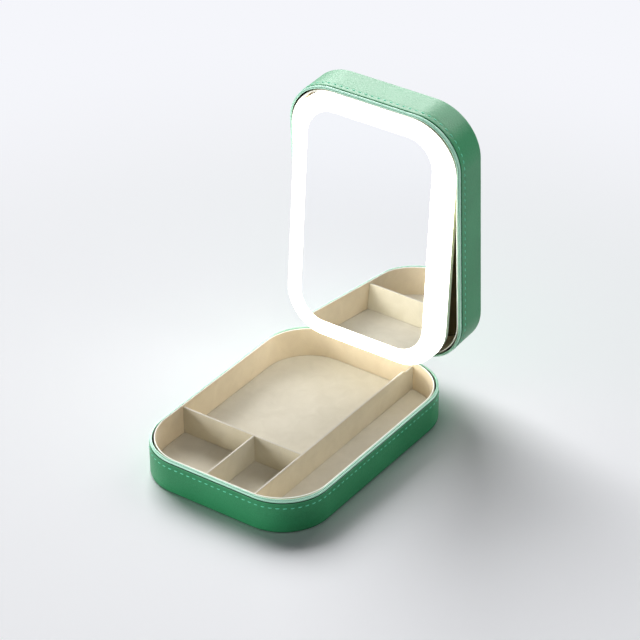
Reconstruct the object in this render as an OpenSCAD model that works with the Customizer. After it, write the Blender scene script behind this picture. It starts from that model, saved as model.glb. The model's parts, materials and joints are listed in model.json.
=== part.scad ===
// Clamshell vanity box: a leather-covered tray with dividers and a hinged lid
// that carries a tilting, lit mirror. Origin: centre of the tray's underside,
// +Z up, +X the width, +Y the lid hinge.

/* [Box] */
// Width of the closed box
box_w = 148; // [130:1:180]
// Length of the closed box, front to hinge
box_l = 208; // [190:1:260]
// Corner radius of the box in plan
corner_r = 38; // [34:1:50]
// Height of the tray's covered side, table to seam
base_h = 25; // [22:1:40]
// Depth of the lid's covered side, seam to outer face
lid_h = 26.4; // [25:0.2:40]
// Height of the padded binding on each rim
rim_h = 2.85; // [2.2:0.05:3.5]
// Gap between the two rims when the box is shut
closing_gap = 0.3; // [0.3:0.05:0.8]

/* [Walls] */
// Thickness of the leather on the sides
cover_t = 0.7; // [0.5:0.1:1]
// Radius of the rounded outer edge of tray and lid
edge_r = 1.6; // [1.2:0.1:1.8]
// Thickness of the flat leather panels below and on top
panel_t = 0.8; // [0.6:0.1:1]
// Thickness of the shell walls
shell_t = 1.4; // [1.2:0.1:2]
// Thickness of the shell floor and the shell roof
shell_floor_t = 1.8; // [1.4:0.1:2.5]
// Gap between shell wall and liner
liner_gap = 0.3; // [0.2:0.1:0.6]
// Thickness of the liner walls
liner_t = 0.9; // [0.7:0.1:1.2]
// Outer corner radius of the liners, wider than the shell's so a gap shows
liner_r = 38.5; // [36:0.5:44]

/* [Tray] */
// Thickness of the padded tray floor
floor_pad_t = 1.4; // [1:0.1:2.5]
// Gap round the floor pad
pad_gap = 0.15; // [0.1:0.05:0.5]
// Thickness of the dividers
divider_t = 1.6; // [1.2:0.1:2.5]
// Depth of the divider tops below the tray rim
divider_drop = 1.65; // [1.6:0.05:6]
// Place of the long divider across the tray
long_divider_x = 35; // [20:1:44]
// Place of the cross divider along the tray
cross_divider_y = -42; // [-60:1:-20]
// Place of the short divider across the tray
short_divider_x = -7; // [-30:1:10]
// Length of the relief at the hinge end of the long divider
relief_l = 13; // [12:1:24]
// Depth of that relief, which lets the mirror's edge swing past
relief_h = 2.4; // [2.4:0.2:8]
// Share of the relief's length that slopes down
relief_slope = 0.3; // [0.3:0.05:0.5]

/* [Lid hinge] */
// Lid angle at rest, from shut
open_angle = 87; // [60:1:95]
// Distance of the hinge axis behind the back wall
hinge_back = 2.75; // [2.6:0.05:4]
// Height of the hinge axis over the middle of the closing gap
hinge_lift = 0.4; // [0:0.1:1]
// Length of the hinge
hinge_l = 60; // [40:1:66]
// Outer radius of the hinge barrel
barrel_r = 2.2; // [1.9:0.05:2.4]
// Radius of the hinge pin
pin_r = 1; // [0.8:0.05:1.2]
// Radial running clearance on pins
pin_clear = 0.05; // [0.02:0.01:0.08]
// Thickness of the hinge leaves
leaf_t = 0.9; // [0.6:0.1:1.2]
// Reach of each leaf from the hinge axis
leaf_reach = 18; // [14:1:20]
// Side gap between neighbouring knuckles
knuckle_gap = 0.3; // [0.2:0.05:0.5]
// Gap between a knuckle and the other leaf
barrel_clear = 0.25; // [0.2:0.05:0.4]
// Radius of the rivet shanks
rivet_r = 1.1; // [0.8:0.1:1.5]
// Distance between rivets along the hinge
rivet_pitch = 44; // [30:1:48]
// Height of the rivets from the hinge axis
rivet_drop = 11; // [8:1:12]

/* [Closing magnets] */
// Width of each magnet
magnet_w = 12; // [8:1:16]
// Height of each magnet
magnet_h = 5; // [3:0.5:7]
// Thickness of each magnet
magnet_t = 1; // [0.8:0.1:1.1]
// Distance between the magnets, centre to centre
magnet_pitch = 40; // [24:1:50]

/* [Mirror panel] */
// Tilt of the mirror out of the lid at rest
tilt_angle = 7.2; // [3:0.1:9]
// How far the folded panel stands out past the middle of the closing gap
panel_proud = 1.2; // [0:0.1:1.4]
// Gap between panel and liner at the sides
panel_side_gap = 3.6; // [3:0.1:8]
// Gap between panel and liner at the hinge end
panel_hinge_gap = 0.4; // [0.4:0.1:2]
// Gap between panel and liner at the far end
panel_far_gap = 3.2; // [1.5:0.1:4]
// Corner radius of the panel
panel_r = 33; // [28:1:38]
// Depth of the lit frame
glow_depth = 12; // [10:0.5:13]
// Depth of the housing behind the lit frame
housing_depth = 5; // [4:0.5:6]
// Width of the lit ring round the glass
ring_w = 12.8; // [10:0.2:18]
// Corner radius of the glass
glass_r = 22.4; // [16:0.2:28]
// Thickness of the mirror glass
glass_t = 2; // [1.5:0.1:3]
// Gap round the glass
glass_gap = 0.1; // [0.05:0.05:0.3]
// Thickness of the light diffuser
diffuser_t = 1.6; // [1.2:0.1:1.8]
// Radius of the diffuser's front edge
diffuser_edge_r = 3; // [2:0.5:3]
// Wall of the light tray and of the housing
tray_t = 1.5; // [1.2:0.1:2]
// Inset of the housing from the lit frame
housing_inset = 0.8; // [0.4:0.1:1.2]
// Distance from the light channel's inner wall to the glass edge
tray_lip = 1; // [0.6:0.1:2]

/* [Mirror pivots] */
// Depth of the pivot axis behind the panel's face
pivot_depth = 12; // [11:0.5:12.5]
// Distance of the pivot axis from the panel's far edge
pivot_from_edge = 6; // [5.8:0.1:7]
// Radius of the pivot pins
pivot_pin_r = 1.25; // [1:0.05:1.4]
// Distance between the two pivots, centre to centre
pivot_pitch = 60; // [40:1:64]
// Width of each bracket's eye
bracket_w = 7.5; // [6:0.5:9]
// Radius of each bracket's eye
eye_r = 2.6; // [2.3:0.1:2.8]
// Half height of the bracket's stem
stem_half = 1.9; // [1.5:0.1:2.2]
// Side gap between eye and housing cheek
cheek_gap = 0.4; // [0.3:0.1:0.8]
// Thickness of the cheeks that hold a pivot pin
cheek_t = 2.6; // [2:0.1:3.5]

/* [Electrics] */
// Width of the LED strip
strip_w = 5; // [4:0.5:6]
// Thickness of the LED strip
strip_t = 0.4; // [0.3:0.1:0.6]
// Distance between neighbouring LEDs
led_pitch = 9; // [7:0.5:16]
// Size of each LED across the strip
led_w = 2.8; // [2:0.1:3.5]
// Height of each LED over the strip
led_h = 0.8; // [0.5:0.1:1.2]
// Width of the battery
battery_w = 50; // [30:1:60]
// Length of the battery
battery_l = 70; // [40:1:80]
// Thickness of the battery
battery_t = 5; // [3:0.5:7]
// Width of the circuit board
board_w = 42; // [34:1:60]
// Length of the circuit board
board_l = 26; // [22:1:40]
// Thickness of the circuit board
board_t = 1.2; // [0.8:0.1:1.6]
// Height of the posts under the circuit board
post_h = 3; // [2:0.5:5]
// Width of the charging socket
socket_w = 9; // [8:0.1:10]
// Height of the charging socket
socket_h = 3.2; // [2.6:0.1:3.4]
// Depth of the charging socket
socket_d = 7.5; // [6:0.1:9]
// Radius of the touch sensor pad behind the glass
touch_r = 6; // [4:0.5:9]
// Radius of the small screws
screw_r = 0.9; // [0.7:0.1:1.1]

/* [Hidden] */
$fn = 96;
small_fn = 32;
cut = 0.5;

// Walls, measured in from the outer face
wall_t = cover_t + shell_t;
liner_out = wall_t + liner_gap;
liner_in = liner_out + liner_t;
liner_in_r = liner_r - liner_t;

// Heights of the tray
shell_floor_z = panel_t + shell_floor_t;
pad_z = shell_floor_z + floor_pad_t;
base_rim_z = base_h + rim_h;
divider_z = base_rim_z - divider_drop;

// Heights of the lid, in the shut position
lid_rim_z = base_rim_z + closing_gap;
lid_seam_z = lid_rim_z + rim_h;
lid_top_z = lid_seam_z + lid_h;
lid_roof_z = lid_top_z - panel_t - shell_floor_t;
lining_t = 0.8;
lining_z = lid_roof_z - lining_t;

// Lid hinge
back_y = box_l / 2;
hinge_y = back_y + hinge_back;
hinge_z = base_rim_z + closing_gap / 2 + hinge_lift;
knuckles = 5;
knuckle_l = (hinge_l - (knuckles - 1) * knuckle_gap) / knuckles;
head_t = 0.6;
head_r = 2;

// Mirror panel in the folded position: its face looks down at panel_z
panel_w = box_w - 2 * (liner_in + panel_side_gap);
panel_back_y = back_y - liner_in - panel_hinge_gap;
panel_front_y = -back_y + liner_in + panel_far_gap;
panel_l = panel_back_y - panel_front_y;
panel_y = (panel_back_y + panel_front_y) / 2;
panel_z = base_rim_z + closing_gap / 2 - panel_proud;
glow_z = panel_z + glow_depth;
housing_z = glow_z + housing_depth;
housing_floor_z = housing_z - tray_t;
glass_w = panel_w - 2 * ring_w;
glass_l = panel_l - 2 * ring_w;
tray_w = glass_w + 2 * tray_lip;
tray_l = glass_l + 2 * tray_lip;
tray_r = glass_r + tray_lip;
housing_w = panel_w - 2 * housing_inset;
housing_l = panel_l - 2 * housing_inset;
housing_r = panel_r - housing_inset;
pivot_y = panel_front_y + pivot_from_edge;
pivot_z = panel_z + pivot_depth;
pocket_w = bracket_w + 2 * cheek_gap;
pocket_half = eye_r + 0.9;
boss_w = pocket_w + 2 * cheek_t;
boss_z = pivot_z - eye_r - 1.4;
post_r = 2.4;
screw_l = 4;
foot_w = 20;
foot_l = 12;
foot_t = 1.6;
screw_x = 7;

// Electrics
strip_z = panel_z + glass_t + 2;
board_x = -tray_w / 2 + tray_t + 8 + board_w / 2;
board_y = panel_back_y - ring_w - 34;
board_z = housing_floor_z - post_h - board_t;
socket_wall = 0.4;
socket_y = panel_back_y - panel_r - 12;
battery_y = panel_y - 20;

// A rounded rectangle from squares and circles, so that its corners stay round
module plate_2d(w, l, r) {
  square([w - 2 * r, l], center = true);
  square([w, l - 2 * r], center = true);
  for (sx = [-1, 1], sy = [-1, 1])
    translate([sx * (w / 2 - r), sy * (l / 2 - r)]) circle(r);
}

module plate(w, l, r, h) {
  linear_extrude(h) plate_2d(w, l, r);
}

module ring(w, l, r, t, h) {
  linear_extrude(h) difference() {
    plate_2d(w, l, r);
    plate_2d(w - 2 * t, l - 2 * t, r - t);
  }
}

// Sweeps a profile round a rounded rectangle. In the profile, x is the distance
// in from the outline and y is the height.
module rim_sweep(w, l, r) {
  for (i = [0:3])
    rotate([0, 0, 90 * i])
      translate(i % 2 == 0 ? [w / 2 - r, l / 2 - r] : [l / 2 - r, w / 2 - r])
        rotate_extrude(angle = 90) translate([r, 0]) mirror([1, 0]) children();
  for (i = [0:3])
    rotate([0, 0, 90 * i])
      translate([i % 2 == 0 ? w / 2 : l / 2, 0])
        rotate([90, 0, 0])
          linear_extrude((i % 2 == 0 ? l : w) - 2 * r, center = true)
            mirror([1, 0]) children();
}

// Outline of the space inside a liner
module liner_inside_2d(gap) {
  plate_2d(box_w - 2 * (liner_in + gap), box_l - 2 * (liner_in + gap), liner_in_r - gap);
}

// Turns the shut lid to its rest angle
module lid_pose() {
  translate([0, hinge_y, hinge_z]) rotate([-open_angle, 0, 0])
    translate([0, -hinge_y, -hinge_z]) children();
}

// Tilts the folded panel out of the open lid
module mirror_pose() {
  lid_pose() translate([0, pivot_y, pivot_z]) rotate([-tilt_angle, 0, 0])
    translate([0, -pivot_y, -pivot_z]) children();
}

// Mirrors a tray piece in height, so that its seam lies on the lid's seam
module on_lid() {
  translate([0, 0, lid_seam_z]) mirror([0, 0, 1]) translate([0, 0, -base_h]) children();
}

module rivet_places() {
  for (x = [-1, 1]) translate([x * rivet_pitch / 2, back_y, 0]) children();
}

// Holes for the rivets through a back wall, at height z
module rivet_holes(z) {
  rivet_places() translate([0, leaf_t + cut, z])
    rotate([90, 0, 0]) cylinder(r = rivet_r, h = leaf_t + wall_t + 2 * cut);
}

// Leather side, turned over its outer edge with a radius; h is its height
module side_cover(h) {
  rim_sweep(box_w, box_l, corner_r) {
    difference() {
      union() {
        translate([0, edge_r]) square([cover_t, h - edge_r]);
        translate([edge_r, edge_r]) circle(edge_r);
      }
      translate([cover_t, edge_r]) square([2 * edge_r, 2 * edge_r]);
      translate([edge_r, edge_r]) circle(edge_r - cover_t);
      translate([edge_r, 0]) square([2 * edge_r, 2 * edge_r]);
    }
  }
}

// Padded binding of two beads; its foot is at height 0
module binding() {
  bead = rim_h / 4 + 0.05;
  rim_sweep(box_w, box_l, corner_r) {
    translate([bead + 0.1, bead]) circle(bead, $fn = small_fn);
    translate([bead + 0.2, rim_h - bead]) circle(bead, $fn = small_fn);
    translate([bead + 0.2, 0]) square([wall_t - bead - 0.2, rim_h - 0.1]);
  }
}

// Box shell, open upward; h is the height of its wall
module shell(h) {
  difference() {
    shell_block(h);
    translate([0, 0, shell_floor_z])
      plate(box_w - 2 * wall_t, box_l - 2 * wall_t, corner_r - wall_t, h);
  }
}

// Block of the shell, drawn in below so that it fits the turned leather edge
module shell_block(h) {
  translate([0, 0, panel_t])
    plate(box_w - 2 * edge_r, box_l - 2 * edge_r, corner_r - edge_r, edge_r - panel_t);
  translate([0, 0, edge_r])
    plate(box_w - 2 * cover_t, box_l - 2 * cover_t, corner_r - cover_t, h - edge_r);
}

module magnet_places() {
  for (x = [-1, 1])
    translate([x * magnet_pitch / 2, -back_y + wall_t - magnet_t, base_h - magnet_h]) children();
}

module magnet() {
  translate([-magnet_w / 2, 0, 0]) cube([magnet_w, magnet_t, magnet_h]);
}

module wall_liner(h) {
  ring(box_w - 2 * liner_out, box_l - 2 * liner_out, liner_r, liner_t, h);
}

module base_shell() {
  color("#6f6a5e") difference() {
    shell(base_h);
    rivet_holes(hinge_z - rivet_drop);
    magnet_places() magnet();
  }
}

module base_cover() {
  color("#3d8a60") difference() {
    side_cover(base_h);
    rivet_holes(hinge_z - rivet_drop);
  }
}

module base_bottom_cover() {
  color("#2e6b47") plate(box_w - 2 * edge_r, box_l - 2 * edge_r, corner_r - edge_r, panel_t);
}

module base_binding() {
  color("#a5d9c0") translate([0, 0, base_h]) binding();
}

module base_liner() {
  color("#b3a07c") translate([0, 0, shell_floor_z]) wall_liner(base_rim_z - shell_floor_z);
}

module base_floor_pad() {
  color("#e3e0d6") translate([0, 0, shell_floor_z])
    linear_extrude(floor_pad_t) liner_inside_2d(pad_gap);
}

// A divider is cut to the inside of the liner
module divider_wall(x, y, w, l) {
  intersection() {
    translate([x, y, pad_z]) cube([w, l, divider_z - pad_z]);
    linear_extrude(divider_z) liner_inside_2d(0);
  }
}

module long_divider() {
  relief_y = back_y - liner_in - relief_l;
  relief = [
    [0, 0],
    [relief_l + cut, 0],
    [relief_l + cut, -relief_h],
    [relief_l * relief_slope, -relief_h]
  ];
  color("#d9d2c0") difference() {
    divider_wall(long_divider_x - divider_t / 2, -back_y, divider_t, box_l);
    translate([long_divider_x, relief_y, divider_z])
      rotate([90, 0, 90])
        linear_extrude(2 * divider_t, center = true) polygon(relief);
  }
}

module cross_divider() {
  reach = long_divider_x - divider_t / 2 + box_w / 2;
  color("#d9d2c0")
    divider_wall(-box_w / 2, cross_divider_y - divider_t / 2, reach, divider_t);
}

module short_divider() {
  reach = cross_divider_y - divider_t / 2 + back_y;
  color("#d9d2c0")
    divider_wall(short_divider_x - divider_t / 2, -back_y, divider_t, reach);
}

module base_magnets() {
  color("silver") magnet_places() magnet();
}

// Knuckles of one leaf: side 0 has the odd ones, side 1 the even ones
module knuckle_run(side) {
  for (i = [side : 2 : knuckles - 1])
    translate([-hinge_l / 2 + i * (knuckle_l + knuckle_gap), hinge_y, hinge_z])
      rotate([0, 90, 0]) children();
}

// A hinge leaf below its axis; side says which knuckles it carries
module leaf_down(side) {
  difference() {
    union() {
      translate([-hinge_l / 2, back_y, hinge_z - leaf_reach])
        cube([hinge_l, leaf_t, leaf_reach]);
      knuckle_run(side) cylinder(r = barrel_r, h = knuckle_l);
    }
    knuckle_run(1 - side) translate([0, 0, -knuckle_gap])
      cylinder(r = barrel_r + barrel_clear, h = knuckle_l + 2 * knuckle_gap);
    translate([-hinge_l, hinge_y, hinge_z]) rotate([0, 90, 0])
      cylinder(r = pin_r + pin_clear, h = 2 * hinge_l);
    rivet_holes(hinge_z - rivet_drop);
  }
}

module rivets(z) {
  rivet_places() translate([0, 0, z]) rotate([90, 0, 0]) {
    translate([0, 0, -leaf_t]) cylinder(r = rivet_r, h = leaf_t + wall_t, $fn = small_fn);
    translate([0, 0, -leaf_t - head_t]) cylinder(r = 2 * rivet_r, h = head_t, $fn = small_fn);
  }
}

module hinge_base_leaf() {
  color("#c8ccd0") leaf_down(0);
}

module hinge_base_rivets() {
  color("silver") rivets(hinge_z - rivet_drop);
}

module hinge_pin() {
  color("silver") translate([0, hinge_y, hinge_z]) rotate([0, 90, 0]) {
    cylinder(r = pin_r, h = hinge_l, center = true, $fn = small_fn);
    for (s = [-1, 1]) translate([0, 0, s * (hinge_l + head_t) / 2])
      cylinder(r = head_r, h = head_t, center = true, $fn = small_fn);
  }
}

// Mirrors a hinge piece in height about the hinge axis
module above_axis() {
  translate([0, 0, hinge_z]) mirror([0, 0, 1]) translate([0, 0, -hinge_z]) children();
}

module lid_shell() {
  color("#6f6a5e") lid_pose() difference() {
    translate([0, 0, lid_top_z]) mirror([0, 0, 1]) shell(lid_h);
    above_axis() rivet_holes(hinge_z - rivet_drop);
    on_lid() magnet_places() magnet();
    bracket_places() screw_pair() translate([0, 0, lid_roof_z - cut])
      cylinder(r = screw_r, h = shell_floor_t, $fn = small_fn);
  }
}

module lid_cover() {
  color("#4a9a70") lid_pose() difference() {
    translate([0, 0, lid_top_z]) mirror([0, 0, 1]) side_cover(lid_h);
    above_axis() rivet_holes(hinge_z - rivet_drop);
  }
}

module lid_top_cover() {
  color("#4a9a70") lid_pose() translate([0, 0, lid_top_z - panel_t])
    plate(box_w - 2 * edge_r, box_l - 2 * edge_r, corner_r - edge_r, panel_t);
}

module lid_binding() {
  color("#a5d9c0") lid_pose() translate([0, 0, lid_seam_z]) mirror([0, 0, 1]) binding();
}

module lid_liner() {
  color("#b3a07c") lid_pose() translate([0, 0, lid_rim_z]) wall_liner(lid_roof_z - lid_rim_z);
}

module lid_lining() {
  color("#5c5238") lid_pose() difference() {
    translate([0, 0, lining_z]) linear_extrude(lining_t) liner_inside_2d(pad_gap);
    bracket_places() screw_pair() translate([0, 0, lining_z - cut])
      cylinder(r = screw_r, h = lining_t + 2 * cut, $fn = small_fn);
  }
}

module lid_magnets() {
  color("silver") lid_pose() on_lid() magnet_places() magnet();
}

module hinge_lid_leaf() {
  color("#c8ccd0") lid_pose() above_axis() leaf_down(1);
}

module hinge_lid_rivets() {
  color("silver") lid_pose() above_axis() rivets(hinge_z - rivet_drop);
}

module bracket_places() {
  for (s = [-1, 1]) translate([s * pivot_pitch / 2, pivot_y, 0]) children();
}

module screw_pair() {
  for (s = [-1, 1]) translate([s * screw_x, foot_l / 2 - 1, 0]) children();
}

// Two brackets on the lid's roof, each with an eye for a pivot pin
module mirror_brackets() {
  foot_z = lining_z - foot_t;
  color("#8d9296") lid_pose() bracket_places() difference() {
    union() {
      translate([-foot_w / 2, -stem_half, foot_z]) cube([foot_w, foot_l, foot_t]);
      translate([-bracket_w / 2, -stem_half, pivot_z])
        cube([bracket_w, 2 * stem_half, foot_z - pivot_z + foot_t / 2]);
      translate([-bracket_w / 2, 0, pivot_z]) rotate([0, 90, 0]) cylinder(r = eye_r, h = bracket_w);
    }
    translate([-bracket_w, 0, pivot_z]) rotate([0, 90, 0])
      cylinder(r = pivot_pin_r + pin_clear, h = 2 * bracket_w);
    screw_pair() translate([0, 0, foot_z - cut])
      cylinder(r = screw_r, h = foot_t + 2 * cut, $fn = small_fn);
  }
}

module bracket_screws() {
  foot_z = lining_z - foot_t;
  color("silver") lid_pose() bracket_places() screw_pair() {
    translate([0, 0, foot_z])
      cylinder(r = screw_r, h = foot_t + lining_t + shell_floor_t - cut, $fn = small_fn);
    translate([0, 0, foot_z - head_t]) cylinder(r = 2 * screw_r, h = head_t, $fn = small_fn);
  }
}

module mirror_glass() {
  color("#cfd6dc") mirror_pose() translate([0, panel_y, panel_z])
    plate(glass_w - 2 * glass_gap, glass_l - 2 * glass_gap, glass_r - glass_gap, glass_t);
}

// Milky frame: a front ring, a side wall and a rounded edge between them
module light_diffuser() {
  color("white") mirror_pose() translate([0, panel_y, panel_z]) {
    rim_sweep(panel_w, panel_l, panel_r) difference() {
      square([diffuser_edge_r, glow_depth]);
      difference() {
        square(diffuser_edge_r);
        translate([diffuser_edge_r, diffuser_edge_r]) circle(diffuser_edge_r);
      }
      translate([diffuser_t, glass_t]) square([diffuser_edge_r, glow_depth]);
    }
    linear_extrude(glass_t) difference() {
      plate_2d(panel_w - 2 * diffuser_edge_r, panel_l - 2 * diffuser_edge_r,
               panel_r - diffuser_edge_r);
      plate_2d(glass_w, glass_l, glass_r);
    }
  }
}

// Inner pan that holds the glass in front and the LED strip on its outer wall.
// Four posts inside it take the screws of the housing.
module light_tray() {
  tray_z = panel_z + glass_t;
  depth = housing_floor_z - tray_z;
  color("#f2f2ee") mirror_pose() difference() {
    union() {
      translate([0, panel_y, tray_z]) difference() {
        plate(tray_w, tray_l, tray_r, depth);
        translate([0, 0, tray_t])
          plate(tray_w - 2 * tray_t, tray_l - 2 * tray_t, tray_r - tray_t, depth);
      }
      housing_posts() translate([0, 0, tray_z + tray_t / 2])
        cylinder(r = post_r, h = depth - tray_t / 2, $fn = small_fn);
    }
    housing_posts() translate([0, 0, housing_floor_z - screw_l])
      cylinder(r = screw_r, h = screw_l + cut, $fn = small_fn);
  }
}

module led_strip() {
  color("#e8e0b0") mirror_pose() translate([0, panel_y, strip_z])
    ring(tray_w + 2 * strip_t, tray_l + 2 * strip_t, tray_r + strip_t, strip_t, strip_w);
}

// LEDs stand at even steps on the straight runs of the strip
module leds() {
  out = strip_t + led_h / 2;
  run_x = tray_w / 2 - tray_r - led_w / 2;
  run_y = tray_l / 2 - tray_r - led_w / 2;
  color("#fff6c8") mirror_pose() translate([0, panel_y, strip_z + strip_w / 2]) {
    for (s = [-1, 1], y = [-floor(run_y / led_pitch) : floor(run_y / led_pitch)])
      translate([s * (tray_w / 2 + out), y * led_pitch, 0])
        cube([led_h, led_w, led_w], center = true);
    for (s = [-1, 1], x = [-floor(run_x / led_pitch) : floor(run_x / led_pitch)])
      translate([x * led_pitch, s * (tray_l / 2 + out), 0])
        cube([led_w, led_h, led_w], center = true);
  }
}

module housing_posts() {
  for (sx = [-1, 1], sy = [-1, 1])
    translate([sx * (tray_w / 2 - tray_t - 2 * post_r), panel_y + sy * (tray_l / 2 - tray_r), 0])
      children();
}

module board_posts() {
  for (sx = [-1, 1], sy = [-1, 1])
    translate([board_x + sx * (board_w / 2 - 3), board_y + sy * (board_l / 2 - 3), 0]) children();
}

// Back pan of the panel, with two slotted bosses for the pivots
module mirror_housing() {
  wall_h = housing_depth - tray_t;
  color("#a9bda6") mirror_pose() difference() {
    union() {
      translate([0, panel_y, housing_floor_z]) plate(housing_w, housing_l, housing_r, tray_t);
      translate([0, panel_y, glow_z]) ring(housing_w, housing_l, housing_r, tray_t, wall_h);
      bracket_places() translate([-boss_w / 2, -pocket_half, boss_z])
        cube([boss_w, 2 * pocket_half, housing_floor_z - boss_z]);
      board_posts() translate([0, 0, housing_floor_z - post_h])
        cylinder(r = 2 * screw_r, h = post_h, $fn = small_fn);
    }
    bracket_places() translate([-pocket_w / 2, -pocket_half - cut / 2, boss_z - cut])
      cube([pocket_w, 2 * pocket_half + cut, housing_z - boss_z + 2 * cut]);
    translate([-housing_w, socket_y - socket_w / 2, housing_floor_z - socket_h])
      cube([housing_w / 2 + tray_t + cut, socket_w, socket_h]);
    bracket_places() translate([-boss_w, 0, pivot_z]) rotate([0, 90, 0])
      cylinder(r = pivot_pin_r, h = 2 * boss_w);
    housing_posts() translate([0, 0, housing_floor_z - cut])
      cylinder(r = screw_r, h = tray_t + 2 * cut, $fn = small_fn);
    board_posts() translate([0, 0, housing_floor_z - post_h - cut])
      cylinder(r = screw_r, h = post_h + cut, $fn = small_fn);
  }
}

module housing_screws() {
  color("silver") mirror_pose() housing_posts() {
    translate([0, 0, housing_floor_z - screw_l])
      cylinder(r = screw_r, h = screw_l + tray_t, $fn = small_fn);
    translate([0, 0, housing_z]) cylinder(r = 2 * screw_r, h = head_t, $fn = small_fn);
  }
}

module pivot_pins() {
  color("silver") mirror_pose() bracket_places() translate([-boss_w / 2, 0, pivot_z])
    rotate([0, 90, 0]) cylinder(r = pivot_pin_r, h = boss_w);
}

module battery() {
  color("#7f9fc0") mirror_pose() translate([0, battery_y, housing_floor_z - battery_t])
    plate(battery_w, battery_l, 2, battery_t);
}

module circuit_board() {
  color("darkgreen") mirror_pose() difference() {
    translate([board_x - board_w / 2, board_y - board_l / 2, board_z])
      cube([board_w, board_l, board_t]);
    board_posts() translate([0, 0, board_z - cut])
      cylinder(r = screw_r, h = board_t + 2 * cut, $fn = small_fn);
  }
}

module board_screws() {
  color("silver") mirror_pose() board_posts() {
    translate([0, 0, board_z])
      cylinder(r = screw_r, h = board_t + post_h - cut, $fn = small_fn);
    translate([0, 0, board_z - head_t]) cylinder(r = 2 * screw_r, h = head_t, $fn = small_fn);
  }
}

// Socket in the housing's left wall, its mouth flush with the outside
module charging_socket() {
  color("silver") mirror_pose()
    translate([-housing_w / 2, socket_y - socket_w / 2, housing_floor_z - socket_h]) difference() {
      cube([socket_d, socket_w, socket_h]);
      translate([-cut, socket_wall, socket_wall])
        cube([socket_d - socket_wall + cut, socket_w - 2 * socket_wall, socket_h - 2 * socket_wall]);
    }
}

module touch_sensor() {
  color("#c9a227") mirror_pose()
    translate([0, panel_back_y - ring_w - 16, panel_z + glass_t + tray_t])
      cylinder(r = touch_r, h = 0.6);
}

base_shell();
base_cover();
base_bottom_cover();
base_binding();
base_liner();
base_floor_pad();
long_divider();
cross_divider();
short_divider();
base_magnets();
hinge_base_leaf();
hinge_base_rivets();
hinge_pin();
lid_shell();
lid_cover();
lid_top_cover();
lid_binding();
lid_liner();
lid_lining();
lid_magnets();
hinge_lid_leaf();
hinge_lid_rivets();
mirror_brackets();
bracket_screws();
mirror_glass();
light_diffuser();
light_tray();
led_strip();
leds();
mirror_housing();
housing_screws();
pivot_pins();
battery();
circuit_board();
board_screws();
charging_socket();
touch_sensor();
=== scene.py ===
"""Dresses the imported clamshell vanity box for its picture.

The box is a leather-covered tray with suede-lined cells, a lid on a friction hinge and, in the
lid, a mirror in a lit frame. The pieces come in the order in which the box is put together.
"""

import json
import math

import bmesh
import bpy
from mathutils import Matrix, Vector, noise


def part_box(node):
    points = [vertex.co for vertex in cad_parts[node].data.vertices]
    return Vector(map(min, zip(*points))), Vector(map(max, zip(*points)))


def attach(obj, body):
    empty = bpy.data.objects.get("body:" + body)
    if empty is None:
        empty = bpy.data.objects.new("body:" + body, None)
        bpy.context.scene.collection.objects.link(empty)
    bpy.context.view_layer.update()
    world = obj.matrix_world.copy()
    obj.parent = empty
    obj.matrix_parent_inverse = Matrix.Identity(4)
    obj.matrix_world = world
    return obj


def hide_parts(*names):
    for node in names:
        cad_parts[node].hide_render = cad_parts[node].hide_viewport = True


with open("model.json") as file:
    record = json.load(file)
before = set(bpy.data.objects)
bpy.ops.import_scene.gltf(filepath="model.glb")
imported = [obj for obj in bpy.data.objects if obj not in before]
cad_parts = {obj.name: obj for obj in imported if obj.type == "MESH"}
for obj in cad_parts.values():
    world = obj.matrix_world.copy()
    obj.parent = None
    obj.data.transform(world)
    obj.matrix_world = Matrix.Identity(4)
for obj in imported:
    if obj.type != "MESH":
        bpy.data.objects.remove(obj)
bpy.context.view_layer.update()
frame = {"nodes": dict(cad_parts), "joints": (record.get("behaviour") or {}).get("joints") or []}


# Shells of the tray and the lid
# The stiff carcasses that everything is glued to. They are injection moulded in grey-beige
# polypropylene and show only as a dark gap between the rim and the liner.

MM = 0.001
# The mix node has sockets for each kind of value; these are its colour ones.
MIX_FROM = 6
MIX_TO = 7
MIX_RESULT = 2


def linear(code):
    """A colour written as an sRGB hex value, as Blender's linear red, green, blue and alpha."""
    parts = [int(code[place : place + 2], 16) / 255 for place in (1, 3, 5)]
    return [part / 12.92 if part < 0.04045 else ((part + 0.055) / 1.055) ** 2.4 for part in parts] + [1]


def add_node(tree, kind, properties=None, inputs=None):
    """Adds one node to a material; an input is a number, a colour or another node's output."""
    node = tree.nodes.new(kind)
    for name, value in (properties or {}).items():
        setattr(node, name, value)
    for name, value in (inputs or {}).items():
        if isinstance(value, bpy.types.NodeSocket):
            tree.links.new(value, node.inputs[name])
        else:
            node.inputs[name].default_value = value
    return node


def finish_material(name, build, **shader_inputs):
    """Makes a material: build adds its pattern and returns the sockets that it drives."""
    material = bpy.data.materials.new(name)
    material.use_nodes = True
    tree = material.node_tree
    tree.nodes.clear()
    place = add_node(tree, "ShaderNodeTexCoord").outputs["Object"]
    driven = build(tree, place)
    shader = add_node(tree, "ShaderNodeBsdfPrincipled", inputs={**shader_inputs, **driven})
    add_node(tree, "ShaderNodeOutputMaterial", inputs={"Surface": shader.outputs[0]})
    return material


def dress(material, *nodes):
    """Gives a material to CAD nodes that are shown as they are."""
    for node in nodes:
        slots = frame["nodes"][node].data.materials
        slots.clear()
        slots.append(material)


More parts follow.
